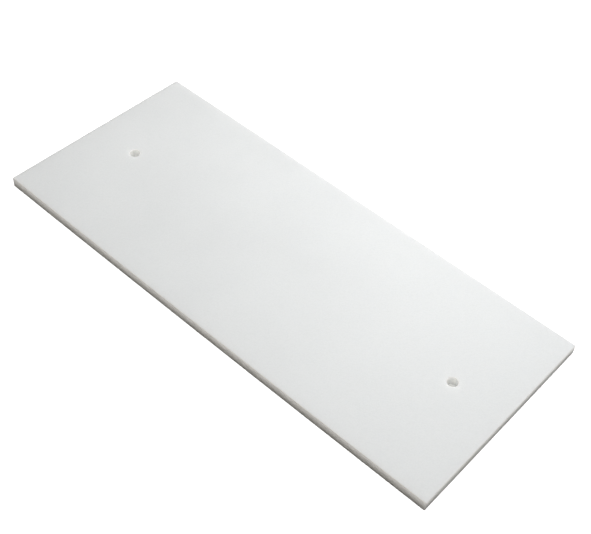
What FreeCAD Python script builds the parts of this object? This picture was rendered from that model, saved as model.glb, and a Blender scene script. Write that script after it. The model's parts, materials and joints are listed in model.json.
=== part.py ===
import FreeCAD, Part
import Sketcher
import math
import os

# Diving board: the bare plank that a user stands on, without its stand.
# It is one rectangle sawn from a sheet of white polyethylene, with a plain hole drilled right
# through it near each end, on its centreline, for the bolts that hold it down.
#
# Frame: the origin is the centre of the underside, +X runs along the board, +Y across it,
# and +Z points up out of the tread face. All sizes are in millimetres.

INCH = 25.4

# Driving sizes: the name of the cell, its value, and what it measures.
SIZES = (
    ("board_length", 37 * INCH, "end to end, along X"),
    ("board_width", 16 * INCH, "side to side, along Y"),
    ("board_thickness", 0.75 * INCH, "thickness of the sheet, along Z"),
    ("hole_diameter", 0.75 * INCH, "drilled bolt hole"),
    ("hole_inset", 4 * INCH, "hole centre to the nearer end of the board"),
    ("corner_round", 1.6, "radius on the four upright corners"),
    ("edge_round", 1.2, "radius that eases the sawn edges of both faces"),
    ("rim_break", 0.5, "chamfer that breaks both rims of each hole"),
)

NODE = "board"
START_SIZE = 100.0  # any size will do for new sketch lines: the constraints pull them to theirs
FLAT = 1e-6  # an edge that rises less than this lies flat
START_POINT, END_POINT, CENTRE = 1, 2, 3  # Sketcher's numbers for the points of a line or circle
X_AXIS, SKETCH_ORIGIN = -1, (-1, 1)  # Sketcher's own axis, and the point at its start
CLOSE_ENOUGH = 1e-3  # a measured size or volume may miss the worked-out one by this share


def add_sizes(doc):
    """Puts the driving sizes in a spreadsheet, each cell under its own name."""
    sheet = doc.addObject("Spreadsheet::Sheet", "Sizes")
    for row, (name, value, meaning) in enumerate(SIZES, start=1):
        sheet.set(f"A{row}", meaning)
        sheet.set(f"B{row}", f"{value:g}")
        sheet.setAlias(f"B{row}", name)
    doc.recompute()
    return sheet


def new_sketch(body, name, height=None):
    """A sketch on the body's own XY plane, or lifted off it by a cell of the spreadsheet."""
    sketch = body.newObject("Sketcher::SketchObject", name)
    ground = next(plane for plane in body.Origin.OriginFeatures if plane.Role == "XY_Plane")
    sketch.AttachmentSupport = [(ground, "")]
    sketch.MapMode = "FlatFace"
    if height is not None:
        sketch.setExpression("AttachmentOffset.Base.z", f"Sizes.{height}")
    return sketch


def bind(sketch, constraint, formula):
    """Adds a constraint with a size, and ties that size to the spreadsheet."""
    number = sketch.addConstraint(constraint)
    sketch.setExpression(f"Constraints[{number}]", formula)


def draw_outline(sketch):
    """The rectangle of the board, centred on the origin."""
    corners = [
        FreeCAD.Vector(x * START_SIZE, y * START_SIZE, 0)
        for x, y in ((-1, -1), (1, -1), (1, 1), (-1, 1))
    ]
    for this_corner, next_corner in zip(corners, corners[1:] + corners[:1]):
        sketch.addGeometry(Part.LineSegment(this_corner, next_corner), False)

    for side in range(4):
        following = (side + 1) % 4
        sketch.addConstraint(
            Sketcher.Constraint("Coincident", side, END_POINT, following, START_POINT)
        )
        direction = "Vertical" if side % 2 else "Horizontal"
        sketch.addConstraint(Sketcher.Constraint(direction, side))
    sketch.addConstraint(
        Sketcher.Constraint("Symmetric", 0, START_POINT, 2, START_POINT, *SKETCH_ORIGIN)
    )
    along = Sketcher.Constraint("DistanceX", 0, START_POINT, 0, END_POINT, 2 * START_SIZE)
    bind(sketch, along, "Sizes.board_length")
    across = Sketcher.Constraint("DistanceY", 1, START_POINT, 1, END_POINT, 2 * START_SIZE)
    bind(sketch, across, "Sizes.board_width")


def draw_holes(sketch):
    """Two equal circles on the centreline, the same distance either side of the origin."""
    for side in (-1, 1):
        centre = FreeCAD.Vector(side * START_SIZE, 0, 0)
        circle = Part.Circle(centre, FreeCAD.Vector(0, 0, 1), START_SIZE / 4)
        sketch.addGeometry(circle, False)
    sketch.addConstraint(Sketcher.Constraint("PointOnObject", 0, CENTRE, X_AXIS))
    sketch.addConstraint(Sketcher.Constraint("Symmetric", 0, CENTRE, 1, CENTRE, *SKETCH_ORIGIN))
    sketch.addConstraint(Sketcher.Constraint("Equal", 0, 1))
    spacing = Sketcher.Constraint("DistanceX", 0, CENTRE, 1, CENTRE, 2 * START_SIZE)
    bind(sketch, spacing, "Sizes.board_length - 2 * Sizes.hole_inset")
    bind(sketch, Sketcher.Constraint("Diameter", 0, START_SIZE / 2), "Sizes.hole_diameter")


def is_upright(edge):
    """True for an edge that runs straight up, such as the board's corners."""
    box = edge.BoundBox
    return box.XLength < FLAT and box.YLength < FLAT


def is_hole_rim(edge):
    """True for a full circle that lies flat, where a hole meets a face."""
    return isinstance(edge.Curve, Part.Circle) and edge.isClosed() and edge.BoundBox.ZLength < FLAT


def is_face_edge(edge):
    """True for an edge of the outline that lies flat, on the tread face or the underside."""
    return edge.BoundBox.ZLength < FLAT


def add_dressing(body, kind, name, base, wanted, size, cell):
    """A fillet or chamfer on those edges of the base feature that pass the test."""
    dressing = body.newObject(kind, name)
    edges = enumerate(base.Shape.Edges, start=1)
    dressing.Base = (base, [f"Edge{number}" for number, edge in edges if wanted(edge)])
    dressing.setExpression(size, f"Sizes.{cell}")
    body.Document.recompute()
    return dressing


def make_board(doc):
    """The slab with eased edges, and the two holes drilled down through it."""
    body = doc.addObject("PartDesign::Body", NODE)
    body.Label = NODE

    outline = new_sketch(body, "outline")
    draw_outline(outline)
    slab = body.newObject("PartDesign::Pad", "slab")
    slab.Profile = outline
    slab.setExpression("Length", "Sizes.board_thickness")
    doc.recompute()

    corners = add_dressing(
        body, "PartDesign::Fillet", "rounded_corners", slab, is_upright, "Radius", "corner_round"
    )
    add_dressing(
        body, "PartDesign::Fillet", "eased_edges", corners, is_face_edge, "Radius", "edge_round"
    )

    circles = new_sketch(body, "hole_centres", height="board_thickness")
    draw_holes(circles)
    doc.recompute()
    holes = body.newObject("PartDesign::Hole", "bolt_holes")
    holes.Profile = circles
    holes.DepthType = "ThroughAll"
    holes.DrillPoint = "Flat"
    holes.setExpression("Diameter", "Sizes.hole_diameter")
    doc.recompute()

    add_dressing(
        body, "PartDesign::Chamfer", "broken_rims", holes, is_hole_rim, "Size", "rim_break"
    )
    body.Placement = FreeCAD.Placement()
    return body


def same(measured, wanted):
    return math.isclose(measured, wanted, rel_tol=CLOSE_ENOUGH)


def check(doc, sheet, body):
    """Stops if a feature failed, or if the board or its holes came out the wrong size."""
    failed = [item.Name for item in doc.Objects if {"Invalid", "Error"} & set(item.State)]
    if failed:
        raise RuntimeError(f"these objects failed to build: {failed}")
    shape = body.Shape
    if shape.isNull() or not shape.isValid() or len(shape.Solids) != 1:
        raise RuntimeError("the board is not one valid solid")

    box = shape.BoundBox
    if not (
        same(box.XLength, sheet.board_length)
        and same(box.YLength, sheet.board_width)
        and same(box.ZLength, sheet.board_thickness)
    ):
        raise RuntimeError(f"the board has the wrong size: {box}")

    eased, drilled = (doc.getObject(name).Shape.Volume for name in ("eased_edges", "bolt_holes"))
    one_hole = math.pi * (sheet.hole_diameter / 2) ** 2 * sheet.board_thickness
    if not same(eased - drilled, 2 * one_hole):
        raise RuntimeError("the holes do not go right through the board")


def main():
    doc = FreeCAD.newDocument("diving_board")
    sheet = add_sizes(doc)
    board = make_board(doc)
    check(doc, sheet, board)
    os.makedirs("parts", exist_ok=True)
    board.Shape.exportStep(f"parts/{board.Label}.step")
    box = board.Shape.BoundBox
    print(f"{board.Label}: {box.XLength:.2f} x {box.YLength:.2f} x {box.ZLength:.2f} mm,")
    print(f"volume {board.Shape.Volume / 1000:.1f} cm3")


main()
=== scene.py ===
import json
import math

import bmesh
import bpy
from mathutils import Matrix, Vector, noise


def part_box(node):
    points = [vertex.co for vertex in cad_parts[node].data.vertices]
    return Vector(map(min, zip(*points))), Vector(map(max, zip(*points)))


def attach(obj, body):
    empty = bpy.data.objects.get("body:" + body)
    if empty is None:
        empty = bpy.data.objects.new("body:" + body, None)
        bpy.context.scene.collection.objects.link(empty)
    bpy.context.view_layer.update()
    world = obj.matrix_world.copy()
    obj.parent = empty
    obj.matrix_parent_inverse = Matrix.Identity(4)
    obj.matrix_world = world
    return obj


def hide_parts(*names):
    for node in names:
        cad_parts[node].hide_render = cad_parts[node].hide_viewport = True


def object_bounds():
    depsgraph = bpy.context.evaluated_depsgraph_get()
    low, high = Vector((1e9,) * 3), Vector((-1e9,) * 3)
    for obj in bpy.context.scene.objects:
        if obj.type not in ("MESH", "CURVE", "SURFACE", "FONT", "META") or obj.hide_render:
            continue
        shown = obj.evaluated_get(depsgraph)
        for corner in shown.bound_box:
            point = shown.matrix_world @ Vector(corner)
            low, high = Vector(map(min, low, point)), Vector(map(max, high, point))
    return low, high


# The looks of the diving board: one slab of white, slightly see-through polyethylene sheet with
# pebbled faces, sawn sides, eased edges and two drilled holes. Lengths are in metres, and the
# frame is the CAD model's: +X along the board, +Y across it, +Z up, origin under its middle.

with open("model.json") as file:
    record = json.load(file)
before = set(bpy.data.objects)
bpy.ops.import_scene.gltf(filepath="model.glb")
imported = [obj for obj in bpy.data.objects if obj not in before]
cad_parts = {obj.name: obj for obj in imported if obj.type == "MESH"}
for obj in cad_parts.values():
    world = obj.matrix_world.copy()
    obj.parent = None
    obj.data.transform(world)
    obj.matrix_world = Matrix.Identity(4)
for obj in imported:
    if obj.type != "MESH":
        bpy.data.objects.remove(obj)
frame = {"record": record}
cad_low, cad_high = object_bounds()
MM = 0.001


# ---- sizes ------------------------------------------------------------------------------------

BOARD_LOW, BOARD_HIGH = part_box("board")
THICKNESS = BOARD_HIGH.z - BOARD_LOW.z
BORES = [mount for mount in frame["record"]["mounts"] if mount["kind"] == "bore"]
HOLE_RADIUS = BORES[0]["dims"]["r_mm"] * MM
HOLE_X = abs(BORES[0]["pos_m"][0])
RIM_BREAK = (THICKNESS - BORES[0]["dims"]["length_mm"] * MM) / 2  # bevel on both rims of a hole
CORNER_ROUND = 1.6 * MM  # upright corners
EDGE_ROUND = 1.2 * MM  # edges of both faces

CELL = 6 * MM  # about the size of a mesh cell on the faces
CORNER_STEPS = 6  # steps round each upright corner
EDGE_STEPS = 5  # steps over each eased edge
SIDE_STEPS = 6  # rows of cells up the flat of a side
PATCH_CELLS = 6  # half the width, in cells, of the square patch of the grid round a hole
PATCH_RINGS = 6  # rings of cells from that square to the hole
PATCH_CROWDING = 1.4  # how much closer the rings get towards the hole: 1 is evenly spaced
WALL_STEPS = 44  # rows of cells down a hole, enough to carry the drill's marks
WELD = 0.02 * MM  # points nearer than this are one point

FACE_DIP = 0.12 * MM  # how far a face dips below a true plane
FACE_DIP_LENGTH = 0.11  # from one dip to the next
FACE_DIP_FADE = 0.03  # over which a dip dies away towards the board's edges and its holes
EASE_CHANGE = 0.25  # share of the edge radius by which the hand-run easing gets smaller
EASE_LENGTH = 0.035  # from one change to the next
FRONT_BOW = 1.75 * MM  # how far the ends of the front long side fall back from its middle
FRONT_BOW_START = 0.03  # from the centre line, so that the holes stay round
DRILL_PITCH = 1.7 * MM  # the drill's marks wind down the hole
DRILL_DEPTH = 0.04 * MM
DRILL_FADE = 0.8 * MM  # over which the marks die away towards the rims
BIG_CELL_WEIGHT = 60  # above 50, the larger cells have more say in how the shading turns


# ---- mesh of the slab -------------------------------------------------------------------------

FACE, SIDE, BORE = 0, 1, 2  # the slab's material slots


def spaced(start, end, steps):
    return [start + (end - start) * step / steps for step in range(steps + 1)]


def grid_lines():
    """The x and y values of the face grid, with a line through each hole's centre."""
    end_x = BOARD_HIGH.x - CORNER_ROUND
    end_y = BOARD_HIGH.y - CORNER_ROUND
    outer = spaced(HOLE_X, end_x, round((end_x - HOLE_X) / CELL))
    middle = spaced(-HOLE_X, HOLE_X, round(2 * HOLE_X / CELL))
    xs = [-x for x in reversed(outer)] + middle[1:-1] + outer
    return xs, spaced(-end_y, end_y, 2 * round(end_y / CELL))


def dip(x, y, seed):
    """How far the face lies below a true plane: nothing at the board's edges and the holes."""
    to_side = min(BOARD_HIGH.x - abs(x), BOARD_HIGH.y - abs(y))
    to_hole = math.hypot(abs(x) - HOLE_X, y) - HOLE_RADIUS
    fade = min(1.0, max(0.0, min(to_side, to_hole) / FACE_DIP_FADE))
    wave = noise.noise(Vector((x, y, 0)) / FACE_DIP_LENGTH + Vector((0, 0, seed)))
    return FACE_DIP * fade * (0.5 + 0.5 * wave)


def in_patch(column, row, holes, middle_row):
    """Whether this cell of the grid lies in the square patch round a hole."""
    if not middle_row - PATCH_CELLS <= row < middle_row + PATCH_CELLS:
        return False
    return any(hole - PATCH_CELLS <= column < hole + PATCH_CELLS for hole in holes)


def square_walk():
    """Grid steps from a hole's centre round the edge of its square patch, anticlockwise."""
    reach = PATCH_CELLS
    sides = (
        [(reach, step) for step in range(-reach, reach)],
        [(-step, reach) for step in range(-reach, reach)],
        [(-reach, -step) for step in range(-reach, reach)],
        [(step, -reach) for step in range(-reach, reach)],
    )
    return [point for side in sides for point in side]


def add_face(mesh, xs, ys, z, seed):
    """One face of the board, as a grid with rings round each hole. Returns the rims' points."""
    up = 1 if z > THICKNESS / 2 else -1
    grid = [[mesh.verts.new((x, y, z - up * dip(x, y, seed))) for x in xs] for y in ys]
    holes = [xs.index(-HOLE_X), xs.index(HOLE_X)]
    middle_row = len(ys) // 2
    for row in range(len(ys) - 1):
        for column in range(len(xs) - 1):
            if not in_patch(column, row, holes, middle_row):
                corners = [grid[row][column], grid[row][column + 1]]
                corners += [grid[row + 1][column + 1], grid[row + 1][column]]
                mesh.faces.new(corners[::up]).material_index = FACE
    rims = []
    for hole in holes:
        square = [grid[middle_row + down][hole + along] for along, down in square_walk()]
        rims.append(add_patch(mesh, square, xs[hole], z, up))
    for row in grid[middle_row - PATCH_CELLS + 1 : middle_row + PATCH_CELLS]:
        for hole in holes:
            for point in row[hole - PATCH_CELLS + 1 : hole + PATCH_CELLS]:
                mesh.verts.remove(point)
    return rims


def add_patch(mesh, square, hole_x, z, up):
    """Rings of cells from a square patch's edge in to a hole's rim. Returns the rim's points."""
    rim_radius = HOLE_RADIUS + RIM_BREAK
    outer = square
    for ring in range(1, PATCH_RINGS + 1):
        share = 1 - (1 - ring / PATCH_RINGS) ** PATCH_CROWDING
        inner = []
        for point in square:
            reach = Vector((point.co.x - hole_x, point.co.y, 0))
            place = reach.lerp(reach.normalized() * rim_radius, share)
            inner.append(mesh.verts.new((hole_x + place.x, place.y, z)))
        join_loops(mesh, outer, inner, FACE, flip=up < 0)
        outer = inner
    return outer


def join_loops(mesh, first, second, material, flip):
    """A closed band of cells between two loops of as many points."""
    for here in range(len(first)):
        after = (here + 1) % len(first)
        corners = [first[here], first[after], second[after], second[here]]
        if flip:
            corners.reverse()
        mesh.faces.new(corners).material_index = material


def stations(xs, ys):
    """Where each column of the sides starts on the face grid, and which way is outwards."""
    runs = (
        ([(x, ys[0]) for x in xs], (0, -1)),
        ([(xs[-1], y) for y in ys], (1, 0)),
        ([(x, ys[-1]) for x in reversed(xs)], (0, 1)),
        ([(xs[0], y) for y in reversed(ys)], (-1, 0)),
    )
    places = []
    for quarter, (points, outwards) in enumerate(runs):
        places += [(Vector(point), Vector(outwards)) for point in points]
        for step in range(1, CORNER_STEPS):
            angle = math.radians(90) * (quarter - 1 + step / CORNER_STEPS)
            places.append((Vector(points[-1]), Vector((math.cos(angle), math.sin(angle)))))
    return places


def ease_radius(point, seed):
    """The radius of the eased edge, which changes a little along the board."""
    wave = noise.noise(Vector((point.x, point.y, 0)) / EASE_LENGTH + Vector((0, 0, seed)))
    return EDGE_ROUND * (1 - EASE_CHANGE * (0.5 + 0.5 * wave))


def side_column(point, outwards):
    """The points of one column of a side, from the underside's edge up to the tread's edge."""
    column = [(0.0, 0.0)]
    quarter_turn = spaced(0, math.radians(90), EDGE_STEPS)
    radius = ease_radius(point, seed=3)
    column += [
        (CORNER_ROUND - radius * (1 - math.sin(angle)), radius * (1 - math.cos(angle)))
        for angle in quarter_turn
    ]
    start = column[-1][1]
    radius = ease_radius(point, seed=7)
    column += [(CORNER_ROUND, z) for z in spaced(start, THICKNESS - radius, SIDE_STEPS)[1:-1]]
    column += [
        (CORNER_ROUND - radius * (1 - math.cos(angle)), THICKNESS - radius * (1 - math.sin(angle)))
        for angle in quarter_turn
    ]
    column.append((0.0, THICKNESS))
    return [(point + outwards * reach).to_3d() + Vector((0, 0, z)) for reach, z in column]


def add_sides(mesh, xs, ys):
    """The four sides and upright corners, with the eased edges above and below them."""
    columns = [side_column(point, outwards) for point, outwards in stations(xs, ys)]
    loops = [[mesh.verts.new(column[row]) for column in columns] for row in range(len(columns[0]))]
    for row in range(len(loops) - 1):
        on_face = row in (0, len(loops) - 2)
        join_loops(mesh, loops[row], loops[row + 1], FACE if on_face else SIDE, flip=False)


def add_wall(mesh, lower_rim, upper_rim, hole_x):
    """The wall of a hole, with a bevelled rim at each end and the drill's marks between."""
    loops = [lower_rim]
    for z in spaced(RIM_BREAK, THICKNESS - RIM_BREAK, WALL_STEPS):
        loop = []
        for rim_point in lower_rim:
            direction = Vector((rim_point.co.x - hole_x, rim_point.co.y)).normalized()
            turn = math.atan2(direction.y, direction.x) / math.tau
            ridge = 0.5 + 0.5 * math.sin(math.tau * (z / DRILL_PITCH + turn))
            from_rim = min(z - RIM_BREAK, THICKNESS - RIM_BREAK - z)
            fade = min(1.0, from_rim / DRILL_FADE)
            radius = HOLE_RADIUS + DRILL_DEPTH * ridge * fade
            loop.append(mesh.verts.new((hole_x + direction.x * radius, direction.y * radius, z)))
        loops.append(loop)
    loops.append(upper_rim)
    for lower, upper in zip(loops, loops[1:]):
        join_loops(mesh, lower, upper, BORE, flip=True)


def bow_front(mesh):
    """Bends back the ends of the front long side, which is slightly curved in the photo."""
    reach = BOARD_HIGH.y - FRONT_BOW_START
    for point in mesh.verts:
        forwards = max(0.0, -point.co.y - FRONT_BOW_START) / reach
        point.co.y += FRONT_BOW * forwards * (point.co.x / BOARD_HIGH.x) ** 2


def make_slab(materials):
    """The whole board as one closed mesh, which stands for the plain CAD node."""
    mesh = bmesh.new()
    xs, ys = grid_lines()
    lower_rims = add_face(mesh, xs, ys, 0.0, seed=11)
    upper_rims = add_face(mesh, xs, ys, THICKNESS, seed=17)
    add_sides(mesh, xs, ys)
    for hole_x, lower_rim, upper_rim in zip((-HOLE_X, HOLE_X), lower_rims, upper_rims):
        add_wall(mesh, lower_rim, upper_rim, hole_x)
    bmesh.ops.remove_doubles(mesh, verts=mesh.verts, dist=WELD)
    bmesh.ops.dissolve_degenerate(mesh, edges=mesh.edges, dist=WELD)
    bow_front(mesh)
    for face in mesh.faces:
        face.smooth = True

    data = bpy.data.meshes.new("board_slab")
    mesh.to_mesh(data)
    mesh.free()
    slab = bpy.data.objects.new("board_slab", data)
    bpy.context.scene.collection.objects.link(slab)
    for material in materials:
        data.materials.append(material)
    weighted = slab.modifiers.new("weighted_normals", "WEIGHTED_NORMAL")
    weighted.weight = BIG_CELL_WEIGHT
    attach(slab, "root")
    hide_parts("board")
    return slab


# ---- materials --------------------------------------------------------------------------------

# The board is one plastic. Each surface has its own colour and spread of light, set by trial
# against the photo. The faces' colour is the plastic's own; the sides' colour is painted shade
# and the holes' colour is painted light.
FACE_COLOUR = (0.777, 0.795, 0.8)
# painted shade: the faces' plastic made a little darker and warmer for the sides
SHADED_SIDE_COLOUR = (0.802, 0.777, 0.712)
# painted light: the same plastic made far lighter, so that the hole walls look lit
LIT_BORE_COLOUR = (0.985, 0.995, 0.96)
FACE_SCATTER = 20 * MM  # how far light spreads inside the plastic
SIDE_SCATTER = 80 * MM  # long enough that the sides darken downwards
BORE_SCATTER = 12 * MM  # short enough that the holes are about as dark as in the photo
SCATTER_BALANCE = (1.0, 0.99, 0.97)  # red spreads a little further
PLASTIC_IOR = 1.54

PEBBLE_SIZE = 2.4 * MM
PEBBLE_DEPTH = 0.10 * MM
GRIT_SIZE = 0.9 * MM
GRIT_SHARE = 0.35  # how high the grit is against the pebbles
CLOUD_SIZE = 0.16
SAW_MARK_GAP = 1.1 * MM
SAW_MARK_DEPTH = 0.06 * MM
SAW_MARK_LEAN = 0.3  # sideways for each metre up
SAW_MARK_WANDER = 0.08  # how fast the marks change on the way up: 1 is as fast as along
DRAG_SIZE = 0.03
SCRATCH_GAP = 0.35 * MM
SCRATCH_DEPTH = 0.03 * MM
BLUSH_SIZE = 6 * MM


class Nodes:
    """Adds nodes to a material or a world and wires them."""

    def __init__(self, owner):
        owner.use_nodes = True
        self.owner = owner
        self.tree = owner.node_tree

    def add(self, kind, inputs=None, **settings):
        node = self.tree.nodes.new(kind)
        for name, value in settings.items():
            setattr(node, name, value)
        for name, value in (inputs or {}).items():
            self.put(node.inputs[name], value)
        return node

    def put(self, socket, value):
        """Wires an output to an input, or sets the input where the value is plain."""
        if isinstance(value, bpy.types.NodeSocket):
            self.tree.links.new(value, socket)
        else:
            socket.default_value = value

    def place(self):
        """The point in the board's own frame, in metres."""
        return self.add("ShaderNodeTexCoord").outputs["Object"]

    def stretched(self, vector, scale):
        node = self.add("ShaderNodeVectorMath", {0: vector, 1: scale}, operation="MULTIPLY")
        return node.outputs["Vector"]

    def noise(self, vector, scale, detail=2.0):
        node = self.add("ShaderNodeTexNoise", {"Vector": vector, "Scale": scale, "Detail": detail})
        return node.outputs["Fac"]

    def pebbles(self, vector, scale):
        inputs = {"Vector": vector, "Scale": scale, "Smoothness": 0.6}
        node = self.add("ShaderNodeTexVoronoi", inputs, feature="SMOOTH_F1")
        return node.outputs["Distance"]

    def maths(self, operation, first, second):
        node = self.add("ShaderNodeMath", {0: first, 1: second}, operation=operation)
        return node.outputs["Value"]

    def spread(self, value, low, high, to_low, to_high):
        inputs = {"Value": value, "From Min": low, "From Max": high}
        inputs.update({"To Min": to_low, "To Max": to_high})
        return self.add("ShaderNodeMapRange", inputs).outputs["Result"]

    def shade(self, colour, factor):
        """The colour times a factor, as a vector."""
        node = self.add("ShaderNodeVectorMath", {0: colour, "Scale": factor}, operation="SCALE")
        return node.outputs["Vector"]

    def bump(self, height, distance, strength=1.0, normal=None):
        inputs = {"Height": height, "Distance": distance, "Strength": strength}
        if normal is not None:
            inputs["Normal"] = normal
        return self.add("ShaderNodeBump", inputs).outputs["Normal"]

    def plastic(self, colour, roughness, normal, scatter):
        """Finishes a material as polyethylene, which light enters and spreads in."""
        inputs = self.tree.nodes["Principled BSDF"].inputs
        self.put(inputs["Base Color"], colour)
        self.put(inputs["Roughness"], roughness)
        self.put(inputs["Normal"], normal)
        self.put(inputs["IOR"], PLASTIC_IOR)
        self.put(inputs["Subsurface Weight"], 1.0)
        self.put(inputs["Subsurface Scale"], scatter)
        self.put(inputs["Subsurface Radius"], SCATTER_BALANCE)
        return self.owner

    def paper(self, white, glow):
        """Finishes a material as plain matt paper, which may glow a little."""
        inputs = self.tree.nodes["Principled BSDF"].inputs
        self.put(inputs["Base Color"], (white, white, white, 1))
        self.put(inputs["Emission Color"], (1, 1, 1, 1))
        self.put(inputs["Emission Strength"], glow)
        self.put(inputs["Roughness"], 0.9)
        self.put(inputs["Specular IOR Level"], 0.1)
        return self.owner


def pebbled_face():
    """The sheet's rolled grain: small soft pebbles, cloudy colour and a low, uneven gloss."""
    nodes = Nodes(bpy.data.materials.new("pebbled_polyethylene"))
    place = nodes.place()
    pebbles = nodes.pebbles(place, 1 / PEBBLE_SIZE)
    grit = nodes.noise(place, 1 / GRIT_SIZE)
    clouds = nodes.noise(place, 1 / CLOUD_SIZE, detail=3)
    height = nodes.maths("ADD", pebbles, nodes.maths("MULTIPLY", grit, GRIT_SHARE))

    shade = nodes.spread(clouds, 0.3, 0.7, 0.985, 1.015)
    speckle = nodes.spread(height, 0.2, 1.0, 1.016, 0.976)
    colour = nodes.shade(FACE_COLOUR, nodes.maths("MULTIPLY", shade, speckle))
    roughness = nodes.spread(clouds, 0.3, 0.7, 0.42, 0.52)
    grain = nodes.bump(height, PEBBLE_DEPTH, strength=0.7)
    return nodes.plastic(colour, roughness, grain, FACE_SCATTER)


def sawn_shaded_side():
    """The cut sides: close saw marks that lean a little, darker in their grooves as painted shade,
    over a duller, slightly warm colour that is painted shade too.
    """
    nodes = Nodes(bpy.data.materials.new("sawn_shaded_polyethylene"))
    place = nodes.place()
    axes = nodes.add("ShaderNodeSeparateXYZ", {"Vector": place}).outputs
    along = nodes.maths("ADD", axes["X"], axes["Y"])
    leaning = nodes.maths("ADD", along, nodes.maths("MULTIPLY", axes["Z"], SAW_MARK_LEAN))
    slow = nodes.maths("MULTIPLY", axes["Z"], SAW_MARK_WANDER)
    line = nodes.add("ShaderNodeCombineXYZ", {"X": leaning, "Z": slow})
    marks = nodes.noise(line.outputs["Vector"], 1 / SAW_MARK_GAP, detail=3)
    drags = nodes.noise(nodes.stretched(place, (1, 1, 5)), 1 / DRAG_SIZE, detail=4)

    # painted shade: the colour is darker in the saw marks' grooves
    shade = nodes.spread(marks, 0.3, 0.7, 0.95, 1.03)
    stain = nodes.spread(drags, 0.3, 0.7, 0.94, 1.04)
    colour = nodes.shade(SHADED_SIDE_COLOUR, nodes.maths("MULTIPLY", shade, stain))
    roughness = nodes.spread(marks, 0.3, 0.7, 0.68, 0.52)
    ridges = nodes.bump(marks, SAW_MARK_DEPTH, strength=0.6)
    return nodes.plastic(colour, roughness, ridges, SIDE_SCATTER)


def drilled_lit_wall():
    """The walls of the holes: fine scratches round them, left by the drill's lips and darker in
    their grooves as painted shade, over a colour made lighter as painted light.
    """
    nodes = Nodes(bpy.data.materials.new("drilled_lit_polyethylene"))
    place = nodes.place()
    scratches = nodes.noise(nodes.stretched(place, (0.15, 0.15, 1)), 1 / SCRATCH_GAP, detail=3)
    blush = nodes.noise(place, 1 / BLUSH_SIZE)

    # painted shade: the colour is darker in the scratches' grooves
    shade = nodes.spread(scratches, 0.3, 0.7, 0.96, 1.03)
    stain = nodes.spread(blush, 0.3, 0.7, 0.95, 1.03)
    colour = nodes.shade(LIT_BORE_COLOUR, nodes.maths("MULTIPLY", shade, stain))
    roughness = nodes.spread(scratches, 0.3, 0.7, 0.38, 0.55)
    grooves = nodes.bump(scratches, SCRATCH_DEPTH, strength=0.6)
    return nodes.plastic(colour, roughness, grooves, BORE_SCATTER)


# ---- stage ------------------------------------------------------------------------------------

FLOOR_SIZE = 80.0
FLOOR_DROP = 0.3 * MM  # keeps the floor off the board's underside
FLOOR_WHITE = 0.9
FLOOR_LAMP_STRENGTH = 2.45
CARD_INSET = 20 * MM
CARD_DROP = 0.15 * MM
CARD_WHITE = 0.95
CARD_GLOW = 0.1  # set so that the ground in the holes is about as bright as in the photo


def lay_sheet(name, low_corner, high_corner, z, white, glow=0.0):
    """A flat sheet of plain paper, which isn't part of the board."""
    data = bpy.data.meshes.new(name)
    (left, front), (right, back) = low_corner, high_corner
    corners = [(left, front, z), (right, front, z), (right, back, z), (left, back, z)]
    data.from_pydata(corners, [], [(0, 1, 2, 3)])
    data.materials.append(Nodes(bpy.data.materials.new(name + "_paper")).paper(white, glow))
    sheet = bpy.data.objects.new(name, data)
    bpy.context.scene.collection.objects.link(sheet)
    return sheet


def make_floor():
    """A wide, plain pale floor, which throws no light up on the board."""
    half = FLOOR_SIZE / 2
    floor = lay_sheet("floor", (-half, -half), (half, half), cad_low.z - FLOOR_DROP, FLOOR_WHITE)
    floor.visible_diffuse = False
    floor.visible_glossy = False
    return floor


def make_card():
    """A white card under the board, which lights it from below and shows through its holes."""
    low_corner = (BOARD_LOW.x + CARD_INSET, BOARD_LOW.y + CARD_INSET)
    high_corner = (BOARD_HIGH.x - CARD_INSET, BOARD_HIGH.y - CARD_INSET)
    card_z = cad_low.z - CARD_DROP
    lay_sheet("card", low_corner, high_corner, card_z, CARD_WHITE, CARD_GLOW)


def light_floor(floor):
    """A lamp overhead that lights the floor alone, through the board, and keeps it white."""
    data = bpy.data.lights.new("floor_lamp", "SUN")
    data.energy = FLOOR_LAMP_STRENGTH
    lamp = bpy.data.objects.new("floor_lamp", data)
    bpy.context.scene.collection.objects.link(lamp)
    floor_only = bpy.data.collections.new("floor_only")
    floor_only.objects.link(floor)
    lamp.light_linking.receiver_collection = floor_only
    lamp.light_linking.blocker_collection = floor_only


KEY_PLACE = Vector((0.07, 0.5, 0.75))  # high up, behind the board's far long side
KEY_SIZE = 0.6
KEY_WATTS = 2.8
SIDE_PLACE = Vector((1.4, 0.65, 0.25))  # low, off the end of the board that is nearer the camera
SIDE_SIZE = 0.4
SIDE_WATTS = 2.5
SIDE_LIGHT = (0.93, 0.977, 1.07)  # a little cooler than the rest
BACK_PLACE = Vector((-0.5, 1.1, 0.3))  # low, behind the board's far corner
BACK_SIZE = 0.5
BACK_WATTS = 2.6


def light_box(name, place, size, watts, colour=(1, 1, 1), mirrored=True):
    """A soft box that shines at the board, and may be mirrored in it."""
    data = bpy.data.lights.new(name, "AREA")
    data.shape = "SQUARE"
    data.size = size
    data.energy = watts
    data.color = colour
    light = bpy.data.objects.new(name, data)
    light.location = place
    light.rotation_euler = place.to_track_quat("Z", "Y").to_euler()
    light.visible_glossy = mirrored
    bpy.context.scene.collection.objects.link(light)


ROOM_BEHIND_TOWARDS = Vector((-0.35, 0.6, 1.0))
ROOM_FRONT = (0.86, 0.815, 0.75)
ROOM_BEHIND = (0.69, 0.69, 0.69)
ROOM_BLEND = (-0.3, 0.7)  # cosines to that direction, between which the two colours blend
ROOM_BELOW = 0.02  # share of the light that is left below the horizon
HORIZON_BLUR = 0.05  # how far below the horizon the light fades away, as a sine


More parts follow.
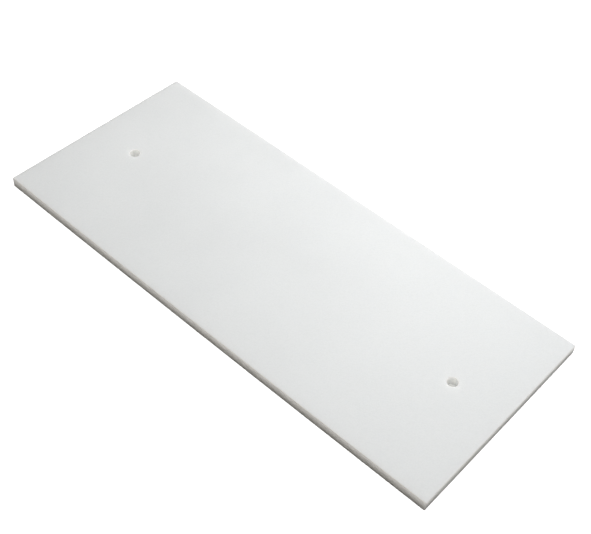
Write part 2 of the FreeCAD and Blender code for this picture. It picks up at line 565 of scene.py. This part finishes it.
def light_room():
    """A pale room, a little brighter and warmer low on the camera's side than elsewhere."""
    world = bpy.data.worlds.new("studio")
    bpy.context.scene.world = world
    nodes = Nodes(world)
    direction = nodes.add("ShaderNodeTexCoord").outputs["Generated"]
    pair = {0: direction, 1: ROOM_BEHIND_TOWARDS.normalized()}
    facing = nodes.add("ShaderNodeVectorMath", pair, operation="DOT_PRODUCT")
    share = nodes.spread(facing.outputs["Value"], *ROOM_BLEND, 0.0, 1.0)
    colour = nodes.add("ShaderNodeMix", {0: share}, data_type="RGBA")
    colour.inputs[6].default_value = ROOM_FRONT + (1,)
    colour.inputs[7].default_value = ROOM_BEHIND + (1,)
    height = nodes.add("ShaderNodeSeparateXYZ", {"Vector": direction}).outputs["Z"]
    background = nodes.tree.nodes["Background"].inputs
    nodes.put(background["Color"], colour.outputs[2])
    nodes.put(background["Strength"], nodes.spread(height, -HORIZON_BLUR, 0.0, ROOM_BELOW, 1.0))


CAMERA_AZIMUTH = math.radians(37.93)
CAMERA_ELEVATION = math.radians(48.01)
CAMERA_ROLL = math.radians(-5.635)
CAMERA_DISTANCE = 1.8172  # from the point of the tread face that the camera looks at
CAMERA_AIM = Vector((0.0318, 0.0029, cad_high.z))
LENS_MM = 65.01


def make_camera():
    data = bpy.data.cameras.new("camera")
    data.lens = LENS_MM
    camera = bpy.data.objects.new("camera", data)
    bpy.context.scene.collection.objects.link(camera)
    across = math.cos(CAMERA_ELEVATION)
    east, north = math.sin(CAMERA_AZIMUTH) * across, -math.cos(CAMERA_AZIMUTH) * across
    back = Vector((east, north, math.sin(CAMERA_ELEVATION)))
    level_right = (-back).cross(Vector((0, 0, 1))).normalized()
    level_up = level_right.cross(-back)
    up = level_up * math.cos(CAMERA_ROLL) + level_right * math.sin(CAMERA_ROLL)
    right = (-back).cross(up)
    turned = Matrix((right, up, back)).transposed().to_4x4()
    camera.matrix_world = Matrix.Translation(CAMERA_AIM + back * CAMERA_DISTANCE) @ turned
    bpy.context.scene.camera = camera


make_camera()
make_slab((pebbled_face(), sawn_shaded_side(), drilled_lit_wall()))
light_floor(make_floor())
make_card()
light_box("key_box", KEY_PLACE, KEY_SIZE, KEY_WATTS)
light_box("side_box", SIDE_PLACE, SIDE_SIZE, SIDE_WATTS, SIDE_LIGHT)
light_box("back_box", BACK_PLACE, BACK_SIZE, BACK_WATTS, mirrored=False)
light_room()
bpy.context.scene.view_settings.view_transform = "Standard"

bpy.context.view_layer.update()
